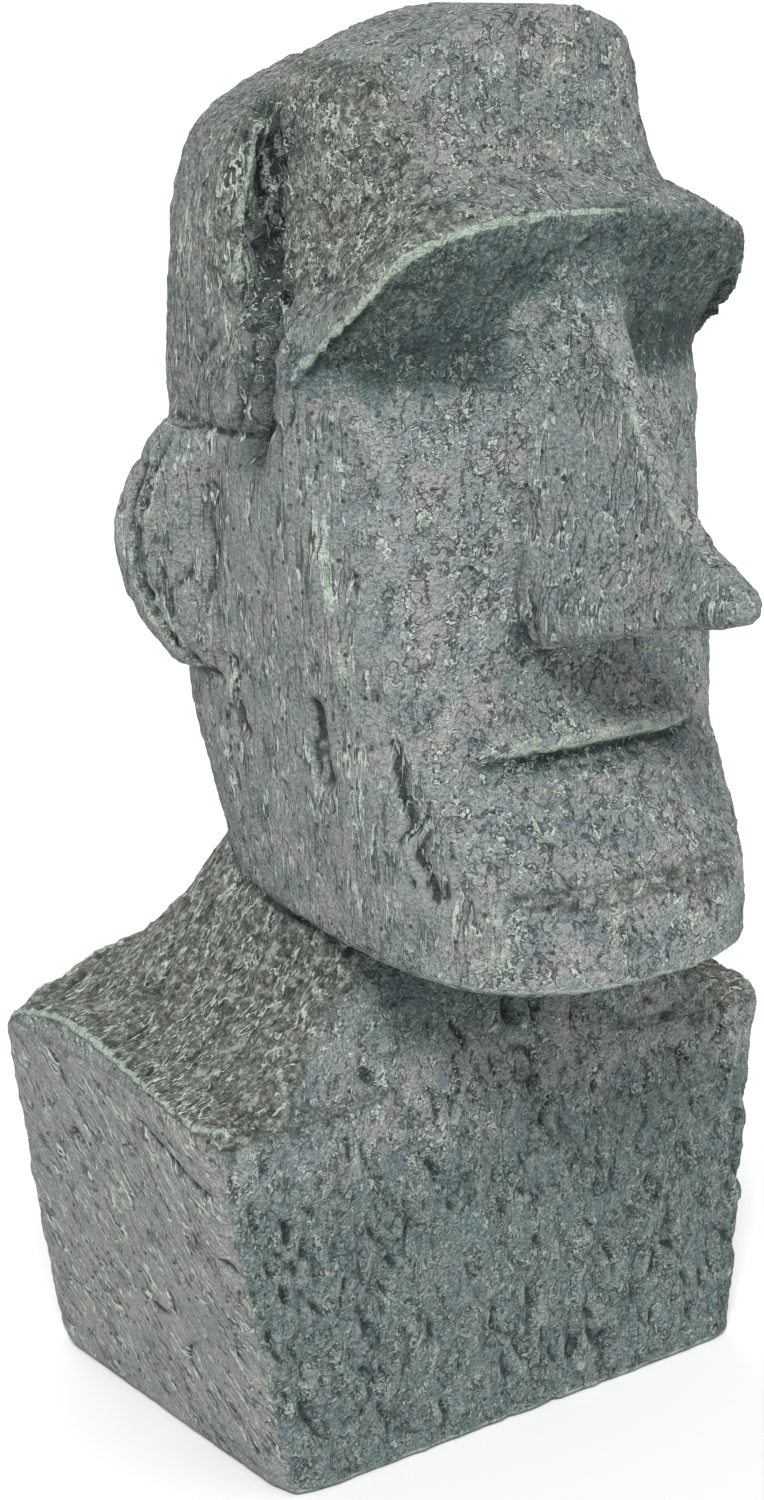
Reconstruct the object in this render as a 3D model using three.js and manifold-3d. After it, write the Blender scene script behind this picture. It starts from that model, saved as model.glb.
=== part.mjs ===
// A moai garden statue, cast in one piece: a long stone head with a heavy arched brow, deep eye
// hollows, a flaring wedge of a nose, thin lips, a jutting chin and slab ears, on a block of a
// torso that is cut off flat below. It rests on its underside.
//
// Millimetres, +Z up. The origin is at the middle of the underside, -Y is where the face looks
// and +X is the statue's left.
import * as THREE from "three";
import { mergeVertices } from "three/addons/utils/BufferGeometryUtils.js";
import Module from "manifold-3d";

const wasm = await Module();
wasm.setup();

// ---- Driving dimensions -------------------------------------------------------------------

const CROWN_Z = 700; // floor to the top of the head
const CROWN_FALL = 28; // how far the crown falls away, 100 mm from its highest point
const CROWN_X = 18; // the crown's highest point is this far off the middle
const CROWN_ROUND = 7; // height of the rounding round the crown
const SLAB_TOP_Z = 685; // top of the slab behind the forehead, in line with that point

// Torso block.
const BASE_HALF_WIDTH = 149;
const BASE_FRONT = -116;
const BASE_BACK = 106;
const SHOULDER_HALF_WIDTH = 181;
const SHOULDER_FRONT = -95;
const SHOULDER_BACK = 104;
const SHOULDER_Z = 186; // front corners of the torso's top
const SHOULDER_ARCH = 17; // rise of the top's side edges, past half way back
const COLLAR_RISE = 25; // rise of the top's front edge in the middle
const COLLAR_REACH = 100; // how far that rise spreads to each side
const NAPE_RISE = 40; // rise of the top's back edge in the middle
const BACK_CORNER_RISE = 4; // how far the back corners stand above the front ones
const CORNER_SQUARE = 22; // squareness of the torso's upright corners
const EDGE_ROUND = 3;
const FOOT_BEVEL = 3;
const NECK_Z = 286; // narrowest part of the neck
const NECK_Y = -15;
const NECK_SQUARE = 2.6;

// Head.
const BROW_SAG = 0.26; // share of the brow's fall that is done by its front corners
const TEMPLE_SHARE = 0.38; // how far round towards the ears the brow's edge ends
const HEAD_SQUARE = 3.4; // squareness of the back of the head
const JAW_SLOPE = 0.088; // the jaw's edge climbs towards the ears
const JAW_Z = 260; // lowest part of the jaw, under the chin
const MOUTH_Z = 350;
const MOUTH_HALF_WIDTH = 78;
const NOSE_TIP_Y = -254;
const NOSE_BASE_Z = 414; // underside of the nose, where it meets the face
const TIP_RISE = 25; // the tip's underside lies this much higher
const EAR_BOTTOM = 388;
const EAR_TOP = 507;
const EAR_REACH = 32; // how far the ear's rim stands out from the head

// ---- Helpers ------------------------------------------------------------------------------

const clamp01 = (v) => Math.min(1, Math.max(0, v));
const smooth = (v) => clamp01(v) ** 2 * (3 - 2 * clamp01(v));
const mix = (a, b, f) => a + (b - a) * f;

// The columns of a ring, as directions on the edge of a unit square, counterclockwise from
// above, with as many steps along the front, each side and the back as asked.
function columnsOf(front, side, back) {
  const columns = [];
  for (let i = 0; i < front; i++) columns.push([-1 + (2 * i) / front, -1]);
  for (let i = 0; i < side; i++) columns.push([1, -1 + (2 * i) / side]);
  for (let i = 0; i < back; i++) columns.push([1 - (2 * i) / back, 1]);
  for (let i = 0; i < side; i++) columns.push([-1, 1 - (2 * i) / side]);
  return columns;
}

const headColumns = columnsOf(22, 14, 10);
const slabColumns = columnsOf(12, 6, 12);
const torsoColumns = columnsOf(18, 12, 18);

// A point of a ring: a superellipse whose front half has a squareness of its own, and which bows
// out between its front corners like a prow.
function ringPoint([cx, cy], ring) {
  const { halfWidth, front, middle, back, frontSquare, backSquare, prow = 0 } = ring;
  const square = cy < 0 ? frontSquare : backSquare;
  const r = (Math.abs(cx) ** square + Math.abs(cy) ** square) ** (-1 / square);
  if (cy >= 0) return [cx * r * halfWidth, mix(middle, back, cy * r)];
  const bow = cy === -1 ? prow * (1 - cx * cx) : 0;
  return [cx * r * halfWidth, mix(middle, front + prow, -cy * r) - bow];
}

// A closed body through a stack of rings with equal counts, listed from the bottom up, each
// ring counterclockwise seen from above.
function loft(rings) {
  const count = rings[0].length;
  const corners = rings.flat();
  const faces = [];
  for (let k = 0; k + 1 < rings.length; k++) {
    for (let i = 0; i < count; i++) {
      const a = k * count + i;
      const b = k * count + ((i + 1) % count);
      faces.push(a, b, b + count, a, b + count, a + count);
    }
  }
  for (const [k, flip] of [[0, true], [rings.length - 1, false]]) {
    const centre = corners.length;
    const sum = rings[k].reduce((s, p) => s.map((v, axis) => v + p[axis]), [0, 0, 0]);
    corners.push(sum.map((v) => v / count));
    for (let i = 0; i < count; i++) {
      const a = k * count + i;
      const b = k * count + ((i + 1) % count);
      faces.push(...(flip ? [b, a, centre] : [a, b, centre]));
    }
  }
  const geometry = new THREE.BufferGeometry();
  geometry.setAttribute("position", new THREE.Float32BufferAttribute(corners.flat(), 3));
  geometry.setIndex(faces);
  return geometry;
}

function solid(geometry) {
  const bare = new THREE.BufferGeometry();
  bare.setAttribute("position", geometry.getAttribute("position"));
  bare.setIndex(geometry.getIndex());
  const merged = mergeVertices(bare, 1e-4);
  return new wasm.Manifold(
    new wasm.Mesh({
      numProp: 3,
      vertProperties: new Float32Array(merged.getAttribute("position").array),
      triVerts: new Uint32Array(merged.getIndex().array),
    }),
  );
}

// ---- Head ---------------------------------------------------------------------------------

// Lower edge of the brow: 1 in the middle of the face, a little less at the corners, and falling
// to 0 at the temples.
function browArch([cx, cy]) {
  if (cy === -1) return 1 - BROW_SAG * Math.abs(cx) ** 2.5;
  return (1 - BROW_SAG) * clamp01((-cy - TEMPLE_SHARE) / (1 - TEMPLE_SHARE)) ** 0.9;
}

// Fall of the crown towards its ends, and its height.
const crownFall = (x) => CROWN_FALL * (Math.abs(x - CROWN_X) / 100) ** 1.5;
const crownZ = (x) => CROWN_Z - crownFall(x);

// The head's sections. z is their height in the middle of the face and templeZ at the temples,
// front is where the middle of the face lies and prow how far it stands out past the box of the
// section, whose front corners are as square as frontSquare says.
const HEAD_SECTIONS = {
  jawEdge: section(259, 259, 98, -195, 0, 2.9, -80, 40),
  jaw: section(263, 263, 101, -201, 0, 3, -80, 44),
  chin: section(282, 282, 103, -201, 2, 3, -77, 50),
  lips: section(364, 364, 112, -156, 19, 5.4, -52, 67),
  noseBase: section(414, 414, 117, -149, 36, 11, -36, 69),
  cheek: section(470, 470, 121, -142, 43, 12, -22, 69),
  hollowRim: section(531, 522, 121, -134, 39, 12, -20, 60),
  hollow: section(548, 528, 121, -126, 29, 10, -25, 12),
  underBrow: section(579, 532, 122, -137, 16, 6, -40, 6),
  browLowerEdge: section(606, 537, 122, -149, 0, 4.2, -54, 4),
  browUpperEdge: section(611, 544, 122, -150, 0, 4.1, -55, 4),
  browTop: section(626, 572, 105, -124, 0, 2.9, -51, 1),
  forehead: section(645, 601, 98, -110, 0, 2.7, -49, -1),
  crownEdge: section(690, 677, 89, -96, 0, 2.7, -47, -4),
};

function section(z, templeZ, halfWidth, front, prow, frontSquare, middle, back) {
  return { z, templeZ, halfWidth, front, prow, frontSquare, middle, back };
}

// The head's section at any height: a smooth curve through the named ones.
function sectionAt(z) {
  const keys = Object.values(HEAD_SECTIONS);
  let k = 0;
  while (k < keys.length - 2 && z > keys[k + 1].z) k++;
  const at = {};
  for (const name of Object.keys(keys[k])) at[name] = curveThrough(keys, k, name, z);
  return at;
}

// Value of a field between keys k and k + 1: a cubic that never overshoots them.
function curveThrough(keys, k, name, z) {
  const rise = (i) => (keys[i + 1][name] - keys[i][name]) / (keys[i + 1].z - keys[i].z);
  const slopeAt = (i) => {
    const [before, after] = [rise(Math.max(i - 1, 0)), rise(Math.min(i, keys.length - 2))];
    return before * after > 0 ? (2 * before * after) / (before + after) : 0;
  };
  const [a, b] = [keys[k], keys[k + 1]];
  const span = b.z - a.z;
  const t = (z - a.z) / span;
  return (
    (2 * t ** 3 - 3 * t ** 2 + 1) * a[name] +
    (t ** 3 - 2 * t ** 2 + t) * span * slopeAt(k) +
    (3 * t ** 2 - 2 * t ** 3) * b[name] +
    (t ** 3 - t ** 2) * span * slopeAt(k + 1)
  );
}

// How far the lips stand out of the face at each height, and the hollow above them.
const LIP_RELIEF = [
  [344, 0],
  [352, 4],
  [359, 4], // lower lip
  [364, -3], // line between the lips
  [368, 8],
  [374, 9], // upper lip
  [379, 5],
  [387, -1],
  [400, -5], // hollow under the nose
  [425, 0],
];

function lipRelief(z) {
  const k = LIP_RELIEF.findIndex(([level]) => level >= z);
  if (k < 1) return 0;
  const [[z0, out0], [z1, out1]] = [LIP_RELIEF[k - 1], LIP_RELIEF[k]];
  return mix(out0, out1, (z - z0) / (z1 - z0));
}

function headRing(z) {
  const ring = { ...sectionAt(z), backSquare: HEAD_SQUARE };
  const low = clamp01((MOUTH_Z - z) / (MOUTH_Z - JAW_Z));
  return headColumns.map((column) => {
    const [x, y] = ringPoint(column, ring);
    const inMouth = column[1] === -1 ? smooth(2.2 * (1 - Math.abs(x) / MOUTH_HALF_WIDTH)) : 0;
    const height = mix(ring.templeZ, z, browArch(column)) + JAW_SLOPE * low * (y - ring.front);
    return [x, y - lipRelief(z) * inMouth, Math.min(height, crownZ(x) - CROWN_ROUND)];
  });
}

// The domed top: rings that shrink towards the middle, each as high as the crown is there.
function crownRing(shrink, lower) {
  const { halfWidth, front, middle, back, frontSquare } = HEAD_SECTIONS.crownEdge;
  const ring = {
    halfWidth: halfWidth * shrink,
    front: mix(middle, front, shrink),
    middle,
    back: mix(middle, back, shrink),
    frontSquare,
    backSquare: frontSquare,
  };
  return headColumns.map((column) => {
    const [x, y] = ringPoint(column, ring);
    return [x, y, crownZ(x) - lower];
  });
}

function headBlock() {
  const named = Object.values(HEAD_SECTIONS).map(({ z }) => z);
  const lips = LIP_RELIEF.map(([z]) => z);
  const between = [303, 323, 438, 495, 514, 539, 562, 594, 617, 635, 657, 673];
  const levels = [...new Set([...named, ...lips, ...between])].sort((a, b) => a - b);
  const INWARD = 0.6;
  const underJaw = headRing(HEAD_SECTIONS.jawEdge.z).map(([x, y, z]) => [
    x * INWARD,
    mix(NECK_Y, y, INWARD),
    z + 4,
  ]);
  const rings = [underJaw, ...levels.map(headRing)];
  rings.push(crownRing(0.98, 3), crownRing(0.92, 0), crownRing(0.6, 0), crownRing(0.25, 0));
  return solid(loft(rings));
}

// The slab behind the forehead. Its front corners stand clear of the forehead, which leaves a
// deep upright crevice between the two. Its top falls away to the sides as the crown does.
const SLAB_SECTIONS = [
  // z, half width, front, back, squareness of the back
  [470, 108, -30, 58, 3.4],
  [500, 116, -34, 63, 3.2],
  [530, 119, -34, 64, 3.2],
  [570, 119, -32, 63, 3.1],
  [610, 117, -31, 62, 3],
  [642, 114, -30, 60, 2.9],
  [668, 110, -29, 56, 2.8],
  [SLAB_TOP_Z - 5, 106, -28, 50, 2.7],
  [SLAB_TOP_Z, 98, -26, 42, 2.5],
  [SLAB_TOP_Z + 1, 50, -20, 20, 2.5],
];

function backSlab() {
  const DOME_START_Z = 600;
  const rings = SLAB_SECTIONS.map(([z, halfWidth, front, back, backSquare]) => {
    const ring = { halfWidth, front, frontSquare: 14, middle: 0, back, backSquare };
    const dome = clamp01((z - DOME_START_Z) / (SLAB_TOP_Z - DOME_START_Z));
    return slabColumns.map((column) => {
      const [x, y] = ringPoint(column, ring);
      return [x, y, z - dome * crownFall(x)];
    });
  });
  return solid(loft(rings));
}

// ---- Nose ---------------------------------------------------------------------------------

// The ridge falls from the brow at an even slope, then sweeps out to the tip. Its flanks are
// hollow and run out into the cheeks, and fill out into round wings at the bottom. Its root fans
// out under the brow.
const NOSE_ROWS = [
  // height above the base, ridge y, ridge half width, wing half width, wing y, fullness of the wings
  [0, -247, 8, 33, -158, 0.75], // underside, at its front edge
  [6, -252, 10, 37, -165, 0.85],
  [16, -254, 10, 39, -167, 0.85],
  [26, -251, 9, 38, -163, 0.7],
  [38, -241, 8, 36, -153, 0.4],
  [54, -224, 7.5, 35, -144, 0.15],
  [74, -204, 7, 35, -138, 0.05],
  [100, -186, 7, 35, -132, 0],
  [132, -168, 8, 37, -123, 0],
  [148, -158, 10, 46, -121, 0],
  [160, -149, 15, 54, -122, 0],
  [172, -140.5, 22, 60, -124, 0],
  [184, -130, 26, 60, -120, 0],
];
const WING_HALF_WIDTH = 39;
const WING_DROOP = 7; // the wings hang this much lower than the middle of the nose
const WING_TOP = 60; // height above the base at which droop and tip rise have died away
const NOSE_BACK_Y = -70; // the back of the nose, buried in the head
const RIDGE_ROUND = 2.5; // how far back the ridge's edges lie
const FLANK_STEPS = [0.3, 0.6, 0.85];

// One side of the nose's section, from the ridge back to inside the head, as [x, y].
function noseSide(ridge, ridgeHalf, wingHalf, wingY, full) {
  const bend = mix(2.2, 0.6, full);
  const flankY = ridge + RIDGE_ROUND;
  return [
    [ridgeHalf * 0.55, ridge],
    [ridgeHalf, flankY],
    ...FLANK_STEPS.map((f) => [mix(ridgeHalf, wingHalf, f ** bend), mix(flankY, wingY, f)]),
    [wingHalf, wingY + 4],
    [wingHalf * 0.97, wingY + 22],
    [wingHalf * 0.9, NOSE_BACK_Y],
  ];
}

function nose() {
  const FACE_Y = -128;
  const rings = NOSE_ROWS.map(([up, ridge, ridgeHalf, wingHalf, wingY, full]) => {
    const left = noseSide(ridge, ridgeHalf, wingHalf, wingY, full);
    const right = left.map(([x, y]) => [-x, y]).reverse();
    const low = clamp01(1 - up / WING_TOP);
    return [...right, ...left].map(([x, y]) => {
      const forward = clamp01((y - FACE_Y) / (NOSE_TIP_Y - FACE_Y));
      const outward = clamp01(Math.abs(x) / WING_HALF_WIDTH);
      return [x, y, NOSE_BASE_Z + up + low * (TIP_RISE * forward - WING_DROOP * outward ** 2)];
    });
  });
  return solid(loft(rings));
}

// ---- Ears ---------------------------------------------------------------------------------

// An ear: a slab that grows out of the side of the head, ends in a rounded rim at the back and
// has a narrow slot just inside that rim. side is -1 or 1.
function ear(side) {
  const ROWS = 14;
  const SLOT_DEPTH = 7;
  const BURIED_X = 85;
  const FRONT_Y = -34; // where the slab leaves the head
  const ROOT_X = [112, 119]; // the head's side at the ear's bottom and top
  const RIM_Y = [8, 27]; // the rim at the ends and in the middle of the ear
  const rings = [];
  for (let k = 0; k <= ROWS; k++) {
    const f = k / ROWS;
    const swell = Math.sin(Math.PI * mix(0.06, 0.95, f)) ** 0.72;
    const reach = EAR_REACH * swell;
    const slot = SLOT_DEPTH * smooth(5 * f) * smooth(5 * (1 - f));
    const root = mix(...ROOT_X, f);
    const rimY = mix(...RIM_Y, swell);
    const faceAt = (y) => root - 4 + (reach + 4) * smooth((y - FRONT_Y) / (rimY - FRONT_Y));
    const outline = [
      [BURIED_X, FRONT_Y + 14],
      [root - 5, FRONT_Y],
      [faceAt(-15), -15],
      [faceAt(rimY - 18), rimY - 18],
      [faceAt(rimY - 13), rimY - 13],
      [faceAt(rimY - 12) - slot, rimY - 12],
      [faceAt(rimY - 9) - slot, rimY - 9],
      [faceAt(rimY - 8), rimY - 8],
      [root + reach, rimY],
      [root + reach - 2, rimY + 6],
      [root + reach * 0.7, rimY + 9],
      [root - 6, rimY + 16],
      [BURIED_X, rimY + 4],
    ];
    const ring = outline.map(([x, y]) => [side * x, y, mix(EAR_BOTTOM, EAR_TOP, f)]);
    rings.push(side > 0 ? ring : ring.reverse());
  }
  return solid(loft(rings));
}

// ---- Torso --------------------------------------------------------------------------------

// Height of the edge between the torso's upright faces and its sloping top.
function shoulderEdgeZ([cx, cy]) {
  const backward = (cy + 1) / 2;
  const reach = clamp01((Math.abs(cx) * SHOULDER_HALF_WIDTH) / COLLAR_REACH);
  const collar = COLLAR_RISE * Math.cos((Math.PI / 2) * reach) ** 2;
  const nape = BACK_CORNER_RISE + NAPE_RISE * (1 - cx * cx);
  const arch = SHOULDER_ARCH * Math.sin(Math.PI * backward ** 1.6);
  return SHOULDER_Z + mix(collar, nape, backward) + arch;
}

// A point of a superellipse about the torso's axis.
function roundedPoint([cx, cy], halfWidth, front, back, square) {
  const r = (Math.abs(cx) ** square + Math.abs(cy) ** square) ** (-1 / square);
  return [cx * r * halfWidth, mix(front, back, (1 + cy * r) / 2)];
}

// A ring round the upright faces, at a share of the way up to the shoulder's edge.
function torsoRing(share, inset) {
  const halfWidth = mix(BASE_HALF_WIDTH, SHOULDER_HALF_WIDTH, share ** 0.95) - inset;
  const front = mix(BASE_FRONT, SHOULDER_FRONT, share) + inset;
  const back = mix(BASE_BACK, SHOULDER_BACK, share) - inset;
  return torsoColumns.map((column) => [
    ...roundedPoint(column, halfWidth, front, back, CORNER_SQUARE),
    shoulderEdgeZ(column) * share,
  ]);
}

function neckRing(z, halfWidth, front, back) {
  return torsoColumns.map((column) => [
    ...roundedPoint(column, halfWidth, front, back, NECK_SQUARE),
    z,
  ]);
}

// A ring of the sloping top, a share of the way from the shoulder's edge to the neck. The slope
// steepens towards the neck.
function slopeRing(share, edge, neck) {
  return edge.map((p, i) => [
    mix(p[0], neck[i][0], share),
    mix(p[1], neck[i][1], share),
    mix(p[2], neck[i][2], share ** 1.85),
  ]);
}

function torso() {
  const SLOPE_STEPS = [0, 0.1, 0.25, 0.42, 0.6, 0.78, 0.92];
  const foot = torsoRing(0, FOOT_BEVEL);
  const lift = torsoRing(0, 0).map(([x, y]) => [x, y, FOOT_BEVEL]);
  const shoulder = torsoRing(1, EDGE_ROUND).map(([x, y, z]) => [x, y, z + EDGE_ROUND]);
  const neckRoot = neckRing(NECK_Z, 87, -96, 70);
  const rings = [foot, lift];
  for (const share of [0.2, 0.4, 0.6, 0.8, 0.975]) rings.push(torsoRing(share, 0));
  for (const share of SLOPE_STEPS) rings.push(slopeRing(share, shoulder, neckRoot));
  rings.push(neckRoot, neckRing(NECK_Z + 30, 86, -97, 60), neckRing(NECK_Z + 60, 80, -90, 50));
  return solid(loft(rings));
}

// ---- The statue ---------------------------------------------------------------------------

function statue() {
  let body = torso().add(headBlock()).add(backSlab()).add(nose());
  for (const side of [-1, 1]) body = body.add(ear(side));
  const { vertProperties, triVerts } = body.getMesh();
  const geometry = new THREE.BufferGeometry();
  geometry.setAttribute("position", new THREE.BufferAttribute(vertProperties, 3));
  geometry.setIndex(new THREE.BufferAttribute(triVerts, 1));
  geometry.computeVertexNormals();
  const stone = new THREE.MeshStandardMaterial({
    color: 0x7d8480,
    roughness: 0.9,
    metalness: 0,
    flatShading: true,
  });
  const mesh = new THREE.Mesh(geometry, stone);
  mesh.name = "moai_statue";
  return mesh;
}

const moai = new THREE.Group();
moai.add(statue());

export default moai;
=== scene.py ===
"""The moai statue's looks: its cast stone surface, carved detail and finish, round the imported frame."""
import math

import bpy
import numpy as np
from mathutils import Matrix, Vector
from mathutils.kdtree import KDTree


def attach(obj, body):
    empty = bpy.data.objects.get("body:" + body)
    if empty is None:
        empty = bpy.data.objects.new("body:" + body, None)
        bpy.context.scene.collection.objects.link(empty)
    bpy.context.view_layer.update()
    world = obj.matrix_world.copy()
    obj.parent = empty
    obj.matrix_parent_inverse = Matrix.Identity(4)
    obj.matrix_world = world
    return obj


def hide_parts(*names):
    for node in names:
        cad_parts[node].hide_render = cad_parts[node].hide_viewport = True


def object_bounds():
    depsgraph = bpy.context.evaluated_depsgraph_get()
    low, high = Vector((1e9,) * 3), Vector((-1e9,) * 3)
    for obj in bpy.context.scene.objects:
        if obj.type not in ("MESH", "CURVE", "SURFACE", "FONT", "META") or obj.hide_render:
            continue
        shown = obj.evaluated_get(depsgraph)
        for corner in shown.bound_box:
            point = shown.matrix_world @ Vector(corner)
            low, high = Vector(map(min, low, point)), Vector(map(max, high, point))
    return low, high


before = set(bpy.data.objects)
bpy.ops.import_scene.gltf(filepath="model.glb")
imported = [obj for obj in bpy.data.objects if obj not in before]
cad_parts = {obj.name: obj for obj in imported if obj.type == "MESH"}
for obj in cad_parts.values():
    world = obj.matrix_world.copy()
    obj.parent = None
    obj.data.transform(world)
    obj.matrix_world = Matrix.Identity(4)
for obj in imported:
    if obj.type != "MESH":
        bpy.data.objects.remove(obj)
cad_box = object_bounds()

# Sizes in metres, in the frame of the solids: +Z up, -Y the way the face looks.
NODE = "moai_statue"
VOXEL = 0.0021
MOST_TRIANGLES = 196000

# The camera: where it stands, its heading, pitch and roll in degrees, and its lens for a 36 mm high sensor.
VIEW_FROM = (-0.8537, -1.1044, 0.7070)
VIEW_TURN = (-37.443, 15.194, 0.288)
SENSOR_HEIGHT = 36.0
FOCAL_LENGTH = 67.45


# ---- Camera, light and floor ----------------------------------------------------------------


def camera():
    """A level-headed three-quarter view from the statue's right, a little above the nose."""
    heading, pitch, roll = (math.radians(angle) for angle in VIEW_TURN)
    forward = Vector(
        (-math.sin(heading) * math.cos(pitch), math.cos(heading) * math.cos(pitch), -math.sin(pitch))
    )
    side = Vector((math.cos(heading), math.sin(heading), 0))
    up = side.cross(forward)
    right = side * math.cos(roll) + up * math.sin(roll)
    top = up * math.cos(roll) - side * math.sin(roll)
    lens = bpy.data.cameras.new("view")
    lens.sensor_fit = "VERTICAL"
    lens.sensor_height = SENSOR_HEIGHT
    lens.lens = FOCAL_LENGTH
    lens.clip_start = 0.01
    eye = bpy.data.objects.new("view", lens)
    turn = Matrix((right, top, -forward)).transposed().to_4x4()
    eye.matrix_world = Matrix.Translation(VIEW_FROM) @ turn
    bpy.context.collection.objects.link(eye)
    bpy.context.scene.camera = eye


def sun(name, from_side, height, strength, softness):
    """A soft distant light. Its bearing is from the front towards the statue's left, in degrees."""
    lamp = bpy.data.lights.new(name, "SUN")
    lamp.energy = strength
    lamp.angle = math.radians(softness)
    holder = bpy.data.objects.new(name, lamp)
    bearing, up = math.radians(from_side), math.radians(height)
    away = Vector((math.sin(bearing) * math.cos(up), -math.cos(bearing) * math.cos(up), math.sin(up)))
    holder.rotation_euler = away.to_track_quat("Z", "Y").to_euler()
    bpy.context.collection.objects.link(holder)


def lights():
    """A white backdrop, a key light from the front on the statue's right, a weak fill and a light behind."""
    world = bpy.data.worlds.new("studio")
    world.use_nodes = True
    nodes, links = world.node_tree.nodes, world.node_tree.links
    nodes["Background"].inputs["Color"].default_value = (1, 1, 1, 1)
    # The backdrop looks white, and lights the statue more softly than that.
    strength = nodes.new("ShaderNodeMapRange")
    strength.inputs["To Min"].default_value = 0.48
    links.new(nodes.new("ShaderNodeLightPath").outputs["Is Camera Ray"], strength.inputs["Value"])
    links.new(strength.outputs[0], nodes["Background"].inputs["Strength"])
    bpy.context.scene.world = world
    sun("key", -42, 46, 3.3, 18)
    sun("fill", 35, 30, 0.5, 40)
    sun("behind", 165, 35, 0.7, 40)
    bpy.context.scene.view_settings.view_transform = "Standard"


def floor():
    """A pale plane just under the statue, wide enough that its rim never shows."""
    mesh = bpy.data.meshes.new("floor")
    reach = 1500.0
    level = -0.0004
    corners = [(-reach, -reach, level), (reach, -reach, level), (reach, reach, level), (-reach, reach, level)]
    mesh.from_pydata(corners, [], [(0, 1, 2, 3)])
    plane = bpy.data.objects.new("floor", mesh)
    bpy.context.collection.objects.link(plane)
    pale = bpy.data.materials.new("pale_floor")
    pale.use_nodes = True
    shader = pale.node_tree.nodes["Principled BSDF"]
    shader.inputs["Base Color"].default_value = (0.80, 0.80, 0.80, 1)
    shader.inputs["Roughness"].default_value = 0.9
    mesh.materials.append(pale)


# ---- Noise ----------------------------------------------------------------------------------

GRADIENTS = np.random.default_rng(7).normal(size=(256, 3))
GRADIENTS /= np.linalg.norm(GRADIENTS, axis=1, keepdims=True)
JITTER = np.random.default_rng(8).random((256, 3))


def lattice_code(cell, seed):
    """A number from 0 to 255 for each cell of a grid, scattered by large odd factors."""
    mixed = cell[:, 0] * 73856093 ^ cell[:, 1] * 19349663 ^ cell[:, 2] * 83492791 ^ (seed + 1) * 2654435761
    mixed = (mixed ^ (mixed >> 13)) * 1274126177
    return (mixed ^ (mixed >> 16)) & 255


def noise(points, size, seed):
    """Smooth gradient noise from about -1 to 1, with features of that size."""
    place = points / size
    cell = np.floor(place).astype(np.int64)
    inside = place - cell
    ease = inside**3 * (inside * (inside * 6 - 15) + 10)
    total = np.zeros(len(points))
    for corner in np.ndindex(2, 2, 2):
        corner = np.array(corner)
        slope = GRADIENTS[lattice_code(cell + corner, seed)]
        weight = np.where(corner == 1, ease, 1 - ease).prod(axis=1)
        total += weight * ((inside - corner) * slope).sum(axis=1)
    return total * 1.7


def fractal(points, size, octaves, seed):
    """Noise with finer and weaker noise added to it."""
    return sum(noise(points, size / 2**k, seed + k) / 2**k for k in range(octaves))


def creases(points, size, seed):
    """1 along thin winding lines and 0 between them."""
    return np.clip(1 - 3.2 * np.abs(noise(points, size, seed)), 0, 1)


def plates(points, size, seed):
    """Flat flakes of about that size: the height of each, and the distance to its edge."""
    place = points / size
    cell = np.floor(place).astype(np.int64)
    near = np.full(len(points), 9.0)
    second = np.full(len(points), 9.0)
    height = np.zeros(len(points))
    for step in np.ndindex(3, 3, 3):
        at = cell + np.array(step) - 1
        code = lattice_code(at, seed)
        gap = np.linalg.norm(at + JITTER[code] - place, axis=1)
        closer = gap < near
        second = np.where(closer, near, np.minimum(second, gap))
        near = np.where(closer, gap, near)
        height = np.where(closer, JITTER[(code * 7 + 3) & 255, 0], height)
    return height * 2 - 1, second - near


def rise(value, low, high):
    """0 below low, 1 above high and a smooth step between."""
    t = np.clip((value - low) / (high - low), 0, 1)
    return t * t * (3 - 2 * t)


def band(value, low, high, soft):
    """1 between low and high, fading out over soft."""
    return rise(value, low - soft, low + soft) * (1 - rise(value, high - soft, high + soft))


# ---- The surface as numbers -------------------------------------------------------------------


class Surface:
    """A mesh's points, with averages over neighbours."""

    def __init__(self, mesh):
        self.mesh = mesh
        count = len(mesh.vertices)
        self.at = np.empty(count * 3)
        mesh.vertices.foreach_get("co", self.at)
        self.at = self.at.reshape(-1, 3)
        ends = np.empty(len(mesh.edges) * 2, dtype=np.int32)
        mesh.edges.foreach_get("vertices", ends)
        self.a, self.b = ends.reshape(-1, 2).T
        self.joined = np.bincount(self.a, minlength=count) + np.bincount(self.b, minlength=count)

    def average(self, values):
        """Mean of each point's neighbours."""
        count = len(self.at)
        columns = values.reshape(count, -1).T
        total = [
            np.bincount(self.a, column[self.b], count) + np.bincount(self.b, column[self.a], count)
            for column in columns
        ]
        return (np.array(total) / self.joined).T.reshape(values.shape)

    def blur(self, values, times):
        """Evens the values out between neighbours."""
        for _ in range(times):
            values = (values + self.average(values)) / 2
        return values

    def relax(self, amount, times):
        """Smooths the shape, by an amount from 0 to 1 at each point."""
        for _ in range(times):
            self.at += 0.5 * amount[:, None] * (self.average(self.at) - self.at)

    def normals(self):
        """Writes the points back to the mesh and returns its normals."""
        self.mesh.vertices.foreach_set("co", self.at.ravel())
        self.mesh.update()
        out = np.empty(len(self.at) * 3)
        self.mesh.vertex_normals.foreach_get("vector", out)
        return out.reshape(-1, 3)

    def bend(self, normal):
        """How sharply the surface bends, in radians a metre: above 0 on edges and below it in grooves."""
        step = self.at[self.b] - self.at[self.a]
        turn = ((normal[self.b] - normal[self.a]) * step).sum(axis=1) / (step**2).sum(axis=1)
        count = len(self.at)
        return (np.bincount(self.a, turn, count) + np.bincount(self.b, turn, count)) / self.joined


# Zones of the surface by height: from, to and how far they fade out.
SHOULDER_ZONE = (0.175, 0.31, 0.01)
CHEEK_ZONE = (0.26, 0.53, 0.012)
HEAD_SIDE_ZONE = (0.28, 0.53, 0.012)
BROW_ZONE = (0.515, 0.615, 0.008)


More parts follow.
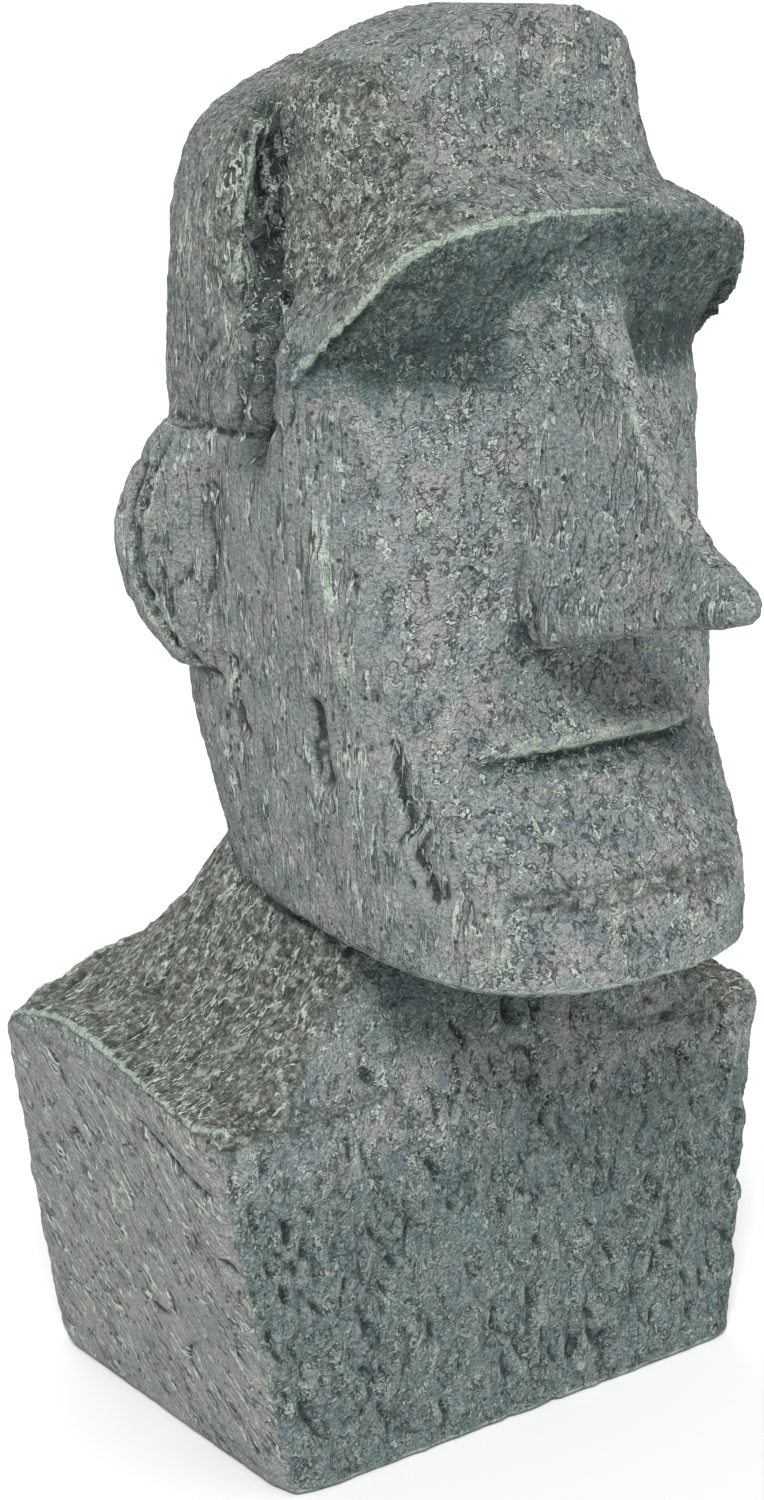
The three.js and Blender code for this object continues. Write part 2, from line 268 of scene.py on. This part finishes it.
def regions(at, normal):
    """How far each point belongs to each kind of surface, from 0 to 1."""
    x, y, z = at.T
    nx, ny, nz = normal.T
    side = rise(np.abs(nx), 0.55, 0.8)
    # The torso's faces run higher up in the middle than at the shoulders.
    torso = 1 - rise(z - 0.035 * (1 - np.clip(np.abs(x) / 0.18, 0, 1)), 0.186, 0.2)
    upright = 1 - rise(nz, 0.3, 0.6)
    head = rise(z, 0.3, 0.32)
    back = rise(ny, 0.3, 0.6)
    return {
        "torso_front": torso * upright * rise(-ny, 0.5, 0.8),
        "torso_side": torso * upright * side,
        "torso_back": torso * upright * back,
        "shoulder": (1 - head) * rise(nz, 0.25, 0.5) * band(z, *SHOULDER_ZONE),
        "cheek": band(z, *CHEEK_ZONE) * rise(-ny, 0.3, 0.6),
        "head_side": band(z, *HEAD_SIDE_ZONE) * side,
        "brow_under": band(z, *BROW_ZONE) * rise(-nz, 0.0, 0.35) * rise(-y, 0.04, 0.07),
        "forehead": rise(z + 0.2 * np.clip(-y - 0.03, 0, 0.1), 0.6, 0.62) * (1 - rise(y, -0.035, -0.02)),
        "slab": rise(z, 0.5, 0.515) * rise(y, -0.035, -0.025),
        "back": head * back,
    }


# ---- Carving ----------------------------------------------------------------------------------


def dry_line(at, points, width):
    """1 on a line through those points and 0 a width away from it."""
    nearest = np.full(len(at), 9.0)
    for a, b in zip(points, points[1:]):
        a, b = np.array(a), np.array(b)
        share = np.clip(((at - a) @ (b - a)) / ((b - a) @ (b - a)), 0, 1)
        nearest = np.minimum(nearest, np.linalg.norm(at - a - share[:, None] * (b - a), axis=1))
    return 1 - rise(nearest, 0, width)


def both_sides(at, points, width):
    """The same for the line and its mirror image on the other side of the head."""
    return np.maximum(dry_line(at, points, width), dry_line(at * np.array([-1, 1, 1]), points, width))


# Lines on the statue's right side, the longer ones from the top down. Each is repeated on its left.
CREVICE = [
    (-0.064, 0.020, 0.688), (-0.087, -0.015, 0.656), (-0.096, -0.029, 0.634), (-0.098, -0.031, 0.612),
    (-0.101, -0.036, 0.590), (-0.109, -0.044, 0.568), (-0.117, -0.052, 0.552), (-0.122, -0.054, 0.534),
    (-0.121, -0.054, 0.516), (-0.120, -0.047, 0.502),
]
CREVICE_LIP = [
    (-0.105, -0.020, 0.643), (-0.110, -0.027, 0.612), (-0.112, -0.030, 0.585), (-0.115, -0.035, 0.563),
    (-0.121, -0.043, 0.546), (-0.121, -0.040, 0.527), (-0.121, -0.035, 0.513),
]
SLAB_RIDGE = [
    (-0.078, 0.018, 0.662), (-0.108, -0.022, 0.636), (-0.112, -0.027, 0.605), (-0.115, -0.028, 0.580),
    (-0.120, -0.031, 0.545), (-0.121, -0.030, 0.515),
]
FACE_CORNER = [
    (-0.118, -0.090, 0.530), (-0.115, -0.092, 0.483), (-0.114, -0.100, 0.429), (-0.110, -0.113, 0.384),
    (-0.105, -0.119, 0.357), (-0.103, -0.127, 0.329),
]
EAR_TOP = [(-0.128, 0.010, 0.509), (-0.122, -0.015, 0.507), (-0.121, -0.056, 0.505)]
EAR_SLOT = [
    (-0.137, 0.020, 0.492), (-0.145, 0.018, 0.470), (-0.146, 0.014, 0.440), (-0.140, 0.012, 0.415),
    (-0.130, 0.010, 0.399),
]
WING = [(-0.042, -0.150, 0.432), (-0.041, -0.148, 0.420), (-0.034, -0.147, 0.408)]
MOUTH = [(-0.072, -0.144, 0.3530), (-0.050, -0.153, 0.3570), (-0.025, -0.160, 0.3600), (0, -0.163, 0.3610)]
JAW_CRACK = [(-0.113, -0.020, 0.394), (-0.113, -0.025, 0.362)]
LOW_JAW_CRACK = [(-0.107, -0.008, 0.346), (-0.107, -0.012, 0.330)]
CHEEK_GOUGE = [(-0.112, -0.085, 0.384), (-0.111, -0.088, 0.352)]
CHIN_GOUGE = [
    (-0.098, -0.127, 0.372), (-0.095, -0.135, 0.349), (-0.094, -0.143, 0.332), (-0.093, -0.152, 0.308),
]
TORSO_SCRATCH = [(-0.178, -0.030, 0.178), (-0.176, -0.060, 0.166), (-0.174, -0.083, 0.155)]

# Grooves and cracks that can be told apart from a step away: the line, its width and its depth. The left
# side's are a little shallower.
GROOVES = [
    (CREVICE, 0.0095, 0.0085),
    (CREVICE[5:], 0.0160, 0.0085),
    (CREVICE, 0.0045, 0.0050),
    (CREVICE_LIP, 0.0050, 0.0045),
    (EAR_SLOT, 0.0055, 0.0065),
    (MOUTH, 0.0065, 0.0030),
    (WING, 0.0070, 0.0040),
    (EAR_TOP, 0.0050, 0.0040),
    (JAW_CRACK, 0.0085, 0.0055),
    (LOW_JAW_CRACK, 0.0065, 0.0045),
    (CHEEK_GOUGE, 0.0100, 0.0070),
    (CHIN_GOUGE, 0.0085, 0.0065),
    (TORSO_SCRATCH, 0.0045, 0.0035),
]

# Seeded lumps, and gouges where the height is below 0: the zones that they lie in, how many, the way they
# lie, half their length, half their width, their height and their seed.
DOWN = (0.1, 0.05, -1)
MARKS = [
    (("torso_front",), 150, (0.25, 0, 1), 0.009, 0.0032, 0.0022, 1),
    (("torso_front",), 140, (-0.3, 0, 1), 0.007, 0.0023, -0.0036, 2),
    (("torso_side",), 70, (0, -0.7, -0.7), 0.008, 0.0018, -0.0026, 3),
    (("torso_back",), 90, DOWN, 0.009, 0.0024, -0.0022, 4),
    (("head_side",), 30, DOWN, 0.010, 0.0019, -0.0024, 5),
    (("cheek",), 50, (0.3, 0, -1), 0.007, 0.0019, -0.0016, 6),
    (("cheek",), 80, (0.5, 0, -1), 0.010, 0.0022, 0.0010, 7),
    (("forehead",), 80, (0.7, 0, 0.5), 0.012, 0.0022, 0.0011, 8),
    (("slab", "back"), 110, DOWN, 0.013, 0.0021, -0.0018, 9),
    (("shoulder",), 110, (-0.7, 0, -0.6), 0.009, 0.0021, -0.0018, 10),
]


def grooves(at, rough):
    """How deep the grooves are at each point, with their lines wandering by the rough noise."""
    depth = np.zeros(len(at))
    for points, width, deep in GROOVES:
        wander = at + (0.5 * width) * np.stack([rough, -rough, 0.2 * rough], axis=1)
        other = [(-x, y, z) for x, y, z in points]
        depth += deep * dry_line(wander, points, width) + 0.8 * deep * dry_line(wander, other, width)
    return depth


def scattered(surface, normal, chance, count, along, half_length, half_width, height, seed):
    """Short lumps or gouges at seeded random places, where chance is high, lying along a direction."""
    rng = np.random.default_rng(seed)
    total = np.zeros(len(surface.at))
    if chance.sum() == 0:
        return total
    picks = rng.choice(len(surface.at), count, p=chance / chance.sum())
    for pick in picks:
        up = normal[pick]
        lie = np.array(along) + rng.normal(0, 0.28, 3)
        lie -= up * (lie @ up)
        lie /= np.linalg.norm(lie)
        across = np.cross(up, lie)
        size = rng.uniform(0.6, 1.5)
        reach = 3 * size * half_length
        step = surface.at - surface.at[pick]
        near = np.nonzero((np.abs(step) < reach).all(axis=1))[0]
        step = step[near]
        bow = rng.normal(0, 0.25) * (step @ lie) ** 2 / half_length
        squared = ((step @ lie) / (size * half_length)) ** 2
        squared += ((step @ across + bow) / (size * half_width)) ** 2 + ((step @ up) / 0.012) ** 2
        total[near] += rng.uniform(0.5, 1.3) * height * np.exp(-squared)
    return total


def textured(at, part):
    """The height of the worked texture, by kind of surface, and the bent and squeezed places it goes by."""
    warp = np.stack([fractal(at, 0.022, 2, 10 * k) for k in (1, 2, 3)], axis=1)
    bent = at + 0.006 * warp
    # In places squeezed along one way, noise turns into strokes that way.
    upright = bent * np.array([1, 1, 0.3])
    outward = bent * np.array([0.35, 1, 0.35])
    slanting = bent.copy()
    slanting[:, 1] = (bent[:, 1] - bent[:, 2]) * 0.7
    slanting[:, 2] = (bent[:, 1] + bent[:, 2]) * 0.22

    level, rim = plates(bent, 0.015, 51)
    flakes = 0.00030 * level + 0.00045 * (1 - rise(rim, 0.0, 0.2))
    worked = 0.00035 * fractal(bent, 0.014, 3, 61)
    worked += 0.0006 * creases(bent, 0.016, 66) * rise(noise(at, 0.02, 67), 0, 0.3)
    strokes = 0.0006 * fractal(upright, 0.007, 3, 71) + 0.0007 * creases(upright, 0.009, 76)
    slanted = 0.0004 * fractal(slanting, 0.008, 3, 81) + 0.0004 * creases(slanting, 0.011, 86)
    raked = 0.0009 * fractal(outward, 0.008, 3, 91) + 0.0012 * creases(outward, 0.009, 96)
    grain = 0.0011 * fractal(bent, 0.007, 2, 101)
    chipped = rise(noise(upright, 0.013, 111), 0.05, 0.30) - rise(noise(upright, 0.012, 113), 0.25, 0.45)
    chips = 0.0011 * chipped + 0.0005 * fractal(upright, 0.009, 2, 115) + 0.6 * flakes

    face = np.maximum(part["cheek"], part["forehead"])
    lengthwise = np.maximum.reduce([part["slab"], part["head_side"], part["back"], part["torso_back"]])
    out = 0.0009 * fractal(at, 0.06, 2, 41)
    out += np.clip(0.25 + face, 0, 1) * (flakes + worked) * (1 - 0.7 * part["brow_under"])
    out += lengthwise * strokes
    out += part["torso_side"] * slanted
    out += part["shoulder"] * raked
    out += part["torso_front"] * chips
    out += part["brow_under"] * grain
    return out, bent, upright


def relief(surface, normal):
    """How far each point is moved out of the smooth shape."""
    at = surface.at
    z = at[:, 2]
    part = regions(at, normal)
    out, bent, upright = textured(at, part)
    for zones, *mark in MARKS:
        out += scattered(surface, normal, sum(part[zone] for zone in zones), *mark)

    rough = fractal(upright, 0.010, 2, 121)
    out -= grooves(at, rough) * (1 + 0.2 * rough)
    out += 0.0022 * both_sides(at, CREVICE, 0.018) * fractal(upright, 0.008, 3, 131)
    under_nose = band(z, 0.376, 0.406, 0.005) * rise(-normal[:, 1], 0.4, 0.7)
    out += under_nose * (1 - rise(np.abs(at[:, 0]), 0.035, 0.06)) * 0.0011 * fractal(bent, 0.009, 2, 151)
    # The bottom edge stays nearly straight, with a little relief of its own above it.
    out *= 0.25 + 0.75 * rise(z, 0.004, 0.024)
    foot = band(z, 0.004, 0.020, 0.004)
    return out + foot * 0.0008 * fractal(at * np.array([0.3, 0.3, 1]), 0.005, 2, 141)


def fillet(surface, normal):
    """Rounds the inner corners where the nose grows out of the face and the neck out of the body."""
    x, y, z = surface.at.T
    hollow = rise(-surface.bend(normal), 25, 70)
    nose = band(z, 0.435, 0.625, 0.012) * (1 - rise(np.abs(x), 0.085, 0.1)) * rise(-y, 0.11, 0.125)
    collar = band(z, 0.19, 0.245, 0.01)
    mask = np.clip(surface.blur(hollow * np.maximum(nose, collar), 10) * 5, 0, 1)
    surface.relax(mask, 40)


def fine_copy(source):
    """A copy of the solid's mesh made of small even faces."""
    mesh = source.data.copy()
    mesh.transform(source.matrix_world)
    rough_cast = bpy.data.objects.new("rough_cast", mesh)
    bpy.context.collection.objects.link(rough_cast)
    voxels = rough_cast.modifiers.new("voxels", "REMESH")
    voxels.mode = "VOXEL"
    voxels.voxel_size = VOXEL
    fine = evaluated(rough_cast, "carved")
    bpy.data.objects.remove(rough_cast)
    return fine


def carved_mesh():
    """The solid's form as a fine mesh, with its edges eased and its surface worked."""
    fine = fine_copy(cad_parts[NODE])
    surface = Surface(fine)
    normal = surface.normals()
    keep = rise(np.abs(surface.blur(surface.bend(normal), 1)), 35, 75)
    surface.relax(1 - 0.95 * keep, 8)
    fillet(surface, surface.normals())
    normal = surface.normals()
    raised = relief(surface, normal)
    masks = finish_masks(surface, normal, raised)
    surface.at += normal * raised[:, None]
    low, high = (np.array(corner) for corner in cad_box)
    surface.at = np.clip(surface.at, low, high)
    surface.normals()
    return with_masks(thinned(fine), surface.at, masks)


def evaluated(thing, name):
    """A new mesh of the object with its modifiers applied."""
    bpy.context.view_layer.update()
    graph = bpy.context.evaluated_depsgraph_get()
    mesh = bpy.data.meshes.new_from_object(thing.evaluated_get(graph))
    mesh.name = name
    return mesh


def thinned(mesh):
    """The same surface with fewer triangles."""
    holder = bpy.data.objects.new("thick", mesh)
    bpy.context.collection.objects.link(holder)
    mesh.calc_loop_triangles()
    cut = holder.modifiers.new("cut", "DECIMATE")
    cut.ratio = min(1.0, MOST_TRIANGLES / len(mesh.loop_triangles))
    cut.use_collapse_triangulate = True
    out = evaluated(holder, "stone_surface")
    out.validate()
    bpy.data.objects.remove(holder)
    return out


# The lower edge of the brow: its height at a few distances from the middle of the face and, at its two
# ends, at a few distances forward of the middle of the head.
BROW_OUT = (0, 0.065, 0.103, 0.118, 0.124)
BROW_HEIGHT = (0.616, 0.611, 0.593, 0.562, 0.546)
BROW_FORWARD = (0.095, 0.112, 0.135)
STROKED = ("slab", "head_side", "back", "torso_back", "torso_side", "shoulder")


def brow_line(y, out):
    """The height of the brow's lower edge over each point."""
    across = np.interp(out, BROW_OUT, BROW_HEIGHT)
    along = 0.008 + np.interp(-y, BROW_FORWARD, BROW_HEIGHT[:1:-1])
    return np.where(out > 0.092, np.minimum(across, along), across)


def shaded(at, normal, part):
    """Where teal patina and painted shade lie: in the eyes, on the torso's front, under the jaw, by the mouth
    and the nose.
    """
    y, z = at[:, 1], at[:, 2]
    out = np.abs(at[:, 0])
    beside_nose = 1 - rise(0.575 - z, 0, 0.006) * rise(0.038 - out, 0, 0.006)
    eye = rise(z, 0.520, 0.540) * rise(-y, 0.065, 0.085) * (1 - rise(-y, 0.15, 0.165))
    eye *= 1 - 0.25 * rise(z, 0.56, 0.58)
    eye = np.maximum(eye, part["brow_under"]) * rise(brow_line(y, out) - z, 0, 0.004) * beside_nose
    # Teal with painted shade on the torso's front, less of it high up, where the head's own shadow falls.
    front = part["torso_front"] * (0.76 - 0.64 * rise(z, 0.135, 0.175))
    # Painted shade under the nose, on its sides and a little on the head's sides; painted shadow along the
    # mouth and beside the nostril wings.
    lip = 0.8 * band(z, 0.374, 0.406, 0.006) * rise(-normal[:, 1], 0.4, 0.7) * (1 - rise(out, 0.035, 0.06))
    nose_side = band(z, 0.43, 0.57, 0.01) * rise(-y, 0.12, 0.13) * rise(np.abs(normal[:, 0]), 0.4, 0.7)
    shade = [eye, front, under_jaw(y, z, out), 0.35 * lip, 0.26 * nose_side, 0.12 * part["head_side"]]
    shade += [0.7 * both_sides(at, MOUTH, 0.014), 0.9 * both_sides(at, WING, 0.012)]
    return np.maximum.reduce(shade)


def under_jaw(y, z, out):
    """The front of the neck, in the jaw's shadow."""
    height = rise(z, 0.190, 0.235) * (1 - rise(z, 0.29, 0.31))
    return height * band(-y, 0.03, 0.15, 0.02) * rise(0.104 - out, 0, 0.040)


def hollows(surface, normal):
    """Where shade is painted dark: in wide hollows, in the crevice, deep in the eyes and a little under the
    jaw.
    """
    at = surface.at
    y, z = at[:, 1], at[:, 2]
    out = np.abs(at[:, 0])
    wide = ((at - surface.blur(at, 80)) * normal).sum(axis=1)
    trench = np.maximum(both_sides(at, CREVICE, 0.02), both_sides(at, CREVICE[4:], 0.026))
    deepest = band(z, 0.534, 0.558, 0.006) * rise(-y, 0.09, 0.1) * band(out, 0.040, 0.105, 0.006)
    return np.maximum.reduce([rise(-wide, 0.0008, 0.0045), trench, deepest, 0.25 * under_jaw(y, z, out)])


def edges(at, bend):
    """Where edges are worn pale, less so on the crown, the torso, the ridge of the nose and the left brow."""
    x, y, z = at.T
    crown = rise(z, 0.64, 0.66)
    torso = 1 - rise(z, 0.19, 0.21)
    ridge = band(z, 0.43, 0.57, 0.01) * rise(-y, 0.14, 0.15)
    left_brow = rise(x, 0.0, 0.03) * band(z, 0.53, 0.63, 0.01)
    edge = rise(bend, 30, 110) * (1 - 0.5 * crown - 0.2 * torso) * (1 - 0.25 * ridge) * (1 - 0.4 * left_brow)
    patchy = noise(at * np.array([1, 1, 0.5]), 0.012, 161)
    corner = both_sides(at, FACE_CORNER, 0.009) * rise(patchy, -0.25, 0.15)
    corner = np.maximum(corner, both_sides(at, SLAB_RIDGE, 0.0065) * rise(patchy, -0.6, -0.2))
    return np.maximum(edge, 0.85 * corner)


def cracks(at, bend):
    """Sharp inner corners, and broken cracks along the crevice and its lip, where shade is painted dark."""
    along = np.maximum(both_sides(at, CREVICE, 0.008), 0.8 * both_sides(at, CREVICE_LIP, 0.006))
    along *= rise(noise(at * np.array([1, 1, 0.4]), 0.009, 163), -0.35, 0.05)
    return np.maximum(rise(-bend, 20, 80), along)


def finish_masks(surface, normal, raised):
    """Numbers for the finish at each point, most of them from 0 to 1."""
    at = surface.at
    x, y, z = at.T
    part = regions(at, normal)
    bend = surface.blur(surface.bend(normal), 1)
    temple = rise(z, 0.545, 0.585) * rise(np.abs(x), 0.055, 0.08) * (1 - rise(y, -0.02, 0.01))
    # Olive tone, darkened partly as painted shade, on the shoulders and temples and a little on the slab and
    # forehead.
    olive_and_shade = [part["shoulder"], 0.9 * temple, 0.5 * part["slab"], 0.25 * part["forehead"]]
    return {
        "raised": np.clip(0.5 + (raised - surface.blur(raised, 5)) / 0.0018, 0, 1),
        "edge": edges(at, bend),
        "creased": cracks(at, bend),
        "hollow": hollows(surface, normal),
        "shade": shaded(at, normal, part),
        "olive_and_shade": np.maximum.reduce(olive_and_shade),
        "bare": np.maximum(part["torso_side"], 0.5 * part["head_side"]),
        "lengthwise": np.maximum.reduce([part[name] for name in STROKED]),
        "strokes": stroke_places(at, part),
    }


def stroke_places(at, part):
    """Each point's place, squeezed the way its strokes run, so that even noise turns into strokes."""
    x, y, z = at.T
    upright = np.stack([x, y, 0.13 * z], axis=1)
    slanted = np.stack([x, 0.7 * (y - z), 0.12 * (y + z)], axis=1)
    outward = np.stack([0.25 * x, y, 0.4 * z], axis=1)
    share = np.stack([np.full(len(at), 0.3), part["torso_side"], part["shoulder"]])
    return np.choose(share.argmax(axis=0)[:, None], [upright, slanted, outward])


def with_masks(mesh, at, masks):
    """Gives each point of the mesh the numbers of the nearest of those points."""
    tree = KDTree(len(at))
    for index, point in enumerate(at):
        tree.insert(point, index)
    tree.balance()
    nearest = np.array([tree.find(vertex.co)[1] for vertex in mesh.vertices])
    for name, values in masks.items():
        kind, field = ("FLOAT", "value") if values.ndim == 1 else ("FLOAT_VECTOR", "vector")
        layer = mesh.attributes.new(name, kind, "POINT")
        layer.data.foreach_set(field, values[nearest].astype(np.float32).ravel())
    return mesh


# ---- Finish -------------------------------------------------------------------------------------

BLUE_GREY = (0.222, 0.272, 0.285, 1)
GREY = (0.300, 0.330, 0.318, 1)
PINKISH = (0.368, 0.352, 0.350, 1)
OLIVE = (0.132, 0.140, 0.116, 1)
BARE_STONE = (0.292, 0.288, 0.268, 1)
TEAL_AND_SHADE = (0.052, 0.118, 0.118, 1)
PALE_OLIVE = (0.480, 0.530, 0.440, 1)
DARK_OLIVE = (0.045, 0.050, 0.045, 1)
PALE_GREY = (0.400, 0.420, 0.390, 1)
PALE_SPECK = (0.52, 0.56, 0.50, 1)
DARK_SPECK = (0.050, 0.070, 0.068, 1)
PALE_GREEN = (0.480, 0.600, 0.490, 1)
RIM_GREEN = (0.600, 0.680, 0.590, 1)
HOLLOW_SHADE = (0.026, 0.046, 0.045, 1)
RIM_SHADOW = (0.030, 0.044, 0.044, 1)
CREASE_SHADE = (0.022, 0.034, 0.035, 1)
LOW_PLACE_SHADE = (0.022, 0.033, 0.034, 1)
PIT_SHADE = (0.014, 0.020, 0.020, 1)


class Nodes:
    """Short ways to add shader nodes to one material."""

    def __init__(self, material):
        self.tree = material.node_tree

    def add(self, kind, inputs=None, **settings):
        node = self.tree.nodes.new(kind)
        for name, value in settings.items():
            setattr(node, name, value)
        for name, value in (inputs or {}).items():
            if isinstance(value, bpy.types.NodeSocket):
                self.tree.links.new(value, node.inputs[name])
            else:
                node.inputs[name].default_value = value
        return node

    def mask(self, name):
        """One of the mesh's numbers."""
        return self.add("ShaderNodeAttribute", attribute_name=name).outputs["Fac"]

    def maths(self, operation, a, b=0.5):
        return self.add("ShaderNodeMath", {0: a, 1: b}, operation=operation).outputs[0]

    def times(self, a, b):
        return self.maths("MULTIPLY", a, b)

    def step(self, value, low, high, bottom=0.0, top=1.0):
        """A smooth step from bottom to top as the value goes from low to high."""
        inputs = {"Value": value, "From Min": low, "From Max": high, "To Min": bottom, "To Max": top}
        return self.add("ShaderNodeMapRange", inputs, interpolation_type="SMOOTHSTEP").outputs[0]

    def blend(self, share, a, b):
        """A colour between a and b."""
        node = self.add("ShaderNodeMix", data_type="RGBA")
        for index, value in ((0, share), (6, a), (7, b)):
            if isinstance(value, bpy.types.NodeSocket):
                self.tree.links.new(value, node.inputs[index])
            else:
                node.inputs[index].default_value = value
        return node.outputs[2]

    def mixed(self, share, a, b):
        """A number between a and b."""
        return self.add("ShaderNodeMix", {0: share, 2: a, 3: b}, data_type="FLOAT").outputs[0]

    def scaled(self, vector, by):
        return self.add("ShaderNodeVectorMath", {0: vector, 1: by}, operation="MULTIPLY").outputs[0]

    def added(self, a, b):
        return self.add("ShaderNodeVectorMath", {0: a, 1: b}, operation="ADD").outputs[0]

    def clouds(self, vector, scale, detail=3.0, roughness=0.55):
        inputs = {"Vector": vector, "Scale": scale, "Detail": detail, "Roughness": roughness}
        return self.add("ShaderNodeTexNoise", inputs)


def ledges(n, value, middle, width):
    """Thin lines where a smooth value crosses the middle: the ledge itself, and the recess along one side,
    where its shadow is painted.
    """
    ledge = n.step(n.maths("ABSOLUTE", n.maths("SUBTRACT", value, middle)), width * 0.6, width, 1.0, 0.0)
    inner = n.step(value, middle + width, middle + 1.3 * width)
    outer = n.step(value, middle + 1.6 * width, middle + 4.0 * width, 1.0, 0.0)
    return ledge, n.times(inner, outer)


def flaked(n, place):
    """Flakes of 5 to 20 mm with crisp rims: the pale rims, the recesses beside them for painted shadow, and
    the height.
    """
    sway = n.clouds(place, 150.0, 2.0).outputs["Color"]
    crooked = n.added(n.scaled(place, (1, 1, 0.7)), n.scaled(sway, (0.009, 0.009, 0.009)))
    large = n.clouds(crooked, 75.0).outputs["Fac"]
    small = n.clouds(crooked, 150.0, 2.0, 0.5).outputs["Fac"]
    ledge, recess = ledges(n, large, 0.5, 0.018)
    small_ledge, small_recess = ledges(n, small, 0.48, 0.018)
    height = n.maths("ADD", n.step(large, 0.48, 0.54, 0.7, 0.0), n.step(small, 0.46, 0.54, 0.4, 0.0))
    return n.maths("MAXIMUM", ledge, small_ledge), n.maths("MAXIMUM", recess, small_recess), height


def stroked(n):
    """Long strokes of a trowel: the pale ridges, the scores beside them for painted shadow, and the height.
    """
    along = n.add("ShaderNodeAttribute", attribute_name="strokes").outputs["Vector"]
    value = n.clouds(along, 130.0, 3.0, 0.6).outputs["Fac"]
    ledge, recess = ledges(n, value, 0.5, 0.021)
    return ledge, recess, n.step(value, 0.36, 0.62, 1.0, 0.0)


def fine_lines(n, place, lengthwise):
    """The rims of flakes or the strokes of a trowel, in patches, with painted shadow beside them, and air
    pits of painted shade.
    """
    pale_flake, dark_flake, flake_height = flaked(n, place)
    pale_stroke, dark_stroke, stroke_height = stroked(n)
    broken = n.clouds(place, 60.0, 3.0, 0.6)
    here = n.step(broken.outputs["Fac"], 0.45, 0.49)
    there = n.step(n.add("ShaderNodeSeparateColor", {0: broken.outputs["Color"]}).outputs[1], 0.44, 0.49)
    pale = n.times(n.mixed(lengthwise, pale_flake, pale_stroke), here)
    dark = n.times(n.mixed(lengthwise, dark_flake, dark_stroke), there)
    # Dark dots of painted shade for air pits; the relief has no holes there.
    holes = n.add("ShaderNodeTexVoronoi", {"Vector": place, "Scale": 130.0})
    pit = n.times(n.step(holes.outputs["Distance"], 0.10, 0.20, 1.0, 0.0), there)
    return pale, dark, pit, n.mixed(lengthwise, flake_height, stroke_height)


def stone_colour(n, patch, grain, lumps, shade):
    """The grey patches, the olive tone darkened partly as painted shade, teal with painted shade, and the
    specks of grain.
    """
    olive_and_shade = n.mask("olive_and_shade")
    bare = n.mask("bare")
    tone = n.blend(n.step(patch, 0.38, 0.54), BLUE_GREY, GREY)
    tone = n.blend(n.step(patch, 0.53, 0.64), tone, PINKISH)
    # Olive, darker partly as painted shade.
    tone = n.blend(n.times(olive_and_shade, 0.88), tone, OLIVE)
    tone = n.blend(n.times(bare, 0.50), tone, BARE_STONE)
    # Teal patina with painted shade.
    tone = n.blend(n.times(shade, 0.80), tone, TEAL_AND_SHADE)
    tone = n.blend(n.times(n.step(grain, 0.46, 0.40), n.mixed(bare, 0.45, 0.22)), tone, DARK_SPECK)
    tone = n.blend(n.times(n.step(grain, 0.54, 0.60), 0.30), tone, PALE_SPECK)
    tone = n.blend(n.times(n.step(lumps, 0.54, 0.59), n.times(olive_and_shade, 0.55)), tone, PALE_OLIVE)
    return n.blend(n.times(n.step(lumps, 0.45, 0.40), n.times(olive_and_shade, 0.65)), tone, DARK_OLIVE)


def worn_colour(n, tone, shade, pale, dark, pit, wear):
    """That colour, with painted shade in low places, hollows, creases, beside rims and in pits, and pale
    green on rims and worn edges.
    """
    raised = n.mask("raised")
    # Painted shade in the low places of the relief.
    tone = n.blend(n.step(raised, 0.44, 0.05, 0.0, 0.85), tone, LOW_PLACE_SHADE)
    tone = n.blend(n.step(raised, 0.60, 0.95, 0.0, 0.40), tone, PALE_GREY)
    # Painted shade in the hollows.
    tone = n.blend(n.times(n.mask("hollow"), 0.75), tone, HOLLOW_SHADE)
    # Painted shade in inner corners and cracks.
    tone = n.blend(n.times(n.mask("creased"), 0.80), tone, CREASE_SHADE)
    # Painted shadow beside the rims and ridges.
    tone = n.blend(n.times(dark, 0.75), tone, RIM_SHADOW)
    tone = n.blend(n.times(pale, n.mixed(shade, 0.85, 0.30)), tone, RIM_GREEN)
    # Painted shade of the air pits.
    tone = n.blend(n.times(pit, 0.8), tone, PIT_SHADE)
    worn = n.maths("ADD", n.mask("edge"), wear)
    return n.blend(n.step(worn, 0.72, 0.84, 0.0, 0.75), tone, PALE_GREEN)


def fine_relief(n, line_height, lumps, pale, dark, grain):
    """Relief too fine for the mesh."""
    height = n.maths("ADD", line_height, n.times(lumps, 1.6))
    height = n.maths("ADD", height, n.times(pale, 0.35))
    height = n.maths("SUBTRACT", height, n.times(dark, 0.35))
    height = n.maths("ADD", height, grain)
    return n.add("ShaderNodeBump", {"Strength": 1.0, "Distance": 0.0036, "Height": height})


def weathered_stone():
    """Grey cast stone: blue-grey and pinkish patches, teal and painted shade in the hollows and pale green on
    the ridges.
    """
    material = bpy.data.materials.new("weathered_stone")
    material.use_nodes = True
    n = Nodes(material)
    place = n.add("ShaderNodeTexCoord").outputs["Object"]
    shade = n.mask("shade")
    patch = n.clouds(place, 45.0, 4.0, 0.7).outputs["Fac"]
    grain = n.clouds(place, 640.0, 3.0, 0.6).outputs["Fac"]
    lumps = n.clouds(place, 230.0, 3.0, 0.6).outputs["Fac"]
    pale, dark, pit, line_height = fine_lines(n, place, n.mask("lengthwise"))
    tone = stone_colour(n, patch, grain, lumps, shade)
    tone = worn_colour(n, tone, shade, pale, dark, pit, n.maths("SUBTRACT", patch, grain))
    bump = fine_relief(n, line_height, lumps, pale, dark, grain)
    shader = material.node_tree.nodes["Principled BSDF"]
    shader.inputs["Specular IOR Level"].default_value = 0.35
    links = material.node_tree.links
    links.new(tone, shader.inputs["Base Color"])
    links.new(bump.outputs["Normal"], shader.inputs["Normal"])
    links.new(n.step(grain, 0.3, 0.7, 0.95, 0.70), shader.inputs["Roughness"])
    return material


def statue():
    """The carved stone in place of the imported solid."""
    mesh = carved_mesh()
    mesh.materials.clear()
    mesh.materials.append(weathered_stone())
    mesh.shade_smooth()
    piece = bpy.data.objects.new("carved_stone", mesh)
    bpy.context.collection.objects.link(piece)
    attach(piece, "root")
    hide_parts(NODE)


camera()
lights()
floor()
statue()
